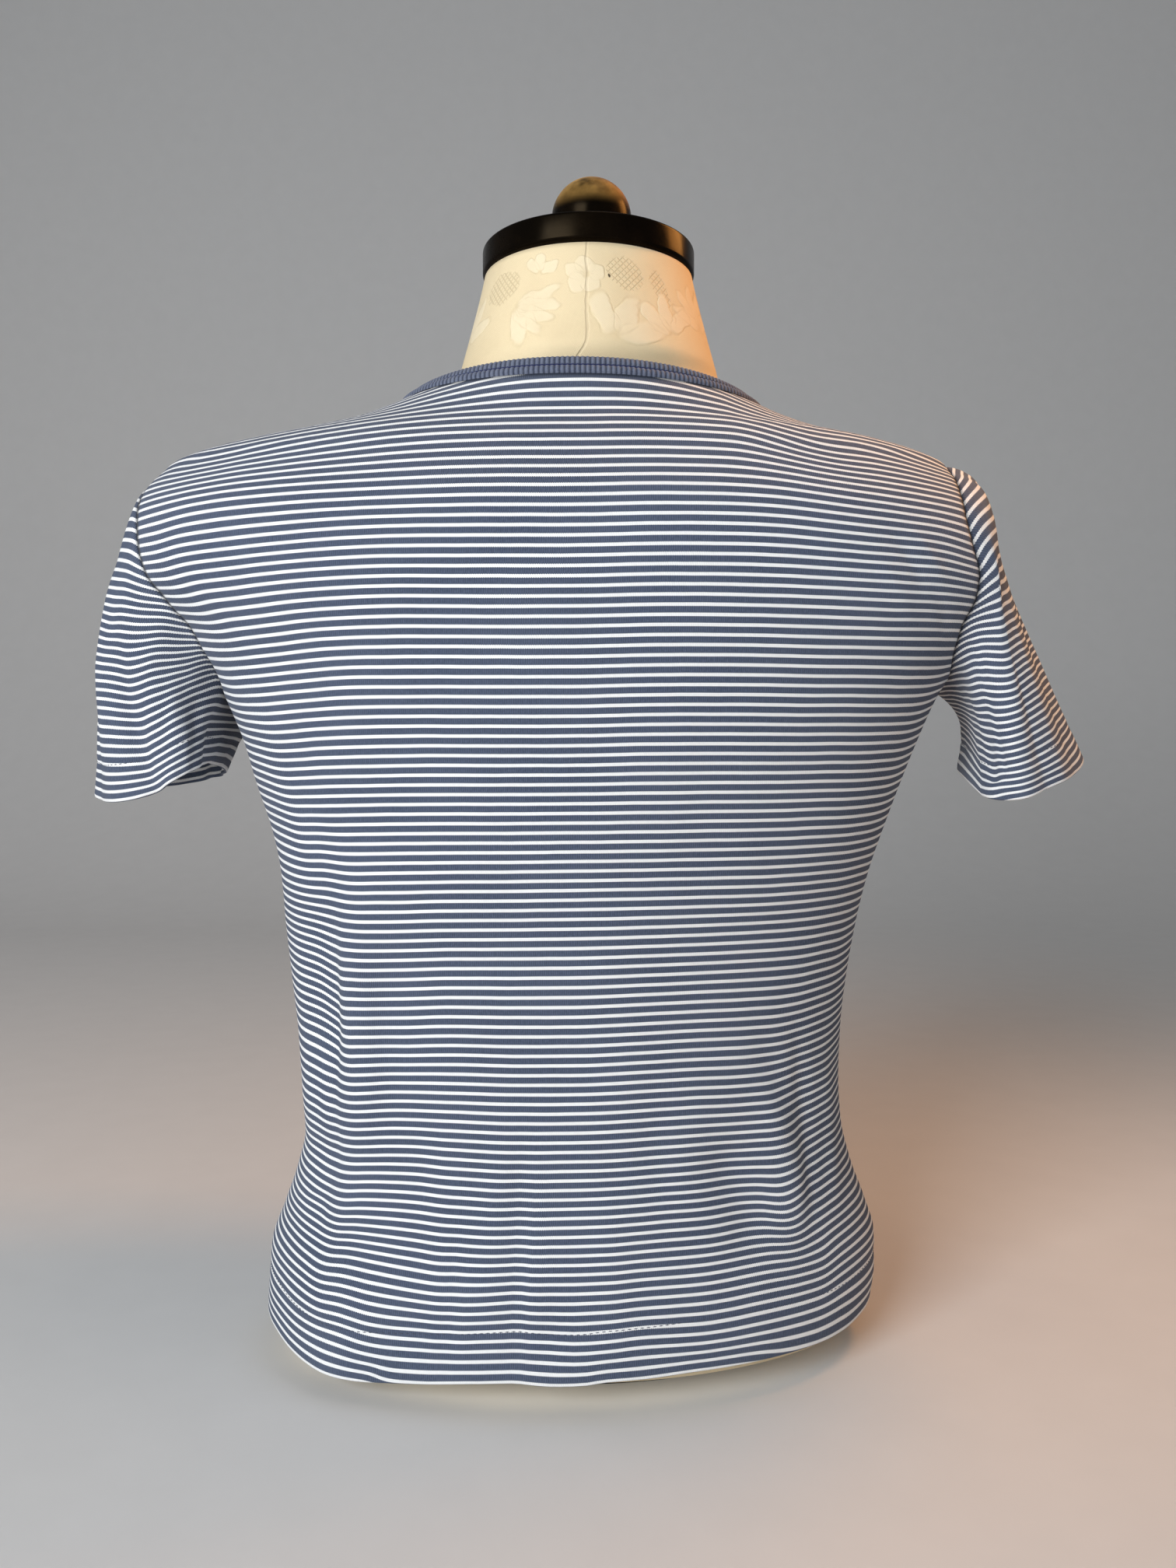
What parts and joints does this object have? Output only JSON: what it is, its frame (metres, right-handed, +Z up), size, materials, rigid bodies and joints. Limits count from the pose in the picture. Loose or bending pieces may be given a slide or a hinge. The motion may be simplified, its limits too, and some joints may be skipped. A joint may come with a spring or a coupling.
{
  "type": "baby tee on a limbless dress form",
  "caption": "Short-sleeved baby tee in fine horizontal stripes with a ribbed neck band, worn on a limbless dress form with a flat neck cap and round knob.",
  "frame": {"origin": "middle of the underside of the base plate, on the surface it stands on", "axes": "+Z up, -Y towards the viewer of the picture (the back of the tee), +X towards the viewer's right"},
  "size_m": [0.4738, 0.2334, 0.5555],
  "materials": {
    "striped_knit": "matte",
    "blue_rib": "matte",
    "cream_cover": "matte",
    "black_gloss": "gloss"
  },
  "bodies": {
    "root": {"back_panel": "striped_knit", "front_panel": "striped_knit", "sleeve_left": "striped_knit", "sleeve_right": "striped_knit", "neck_rib": "blue_rib", "form_torso": "cream_cover", "form_neck_cap": "black_gloss", "form_knob": "black_gloss", "form_base": "black_gloss"}
  },
  "joints": []
}
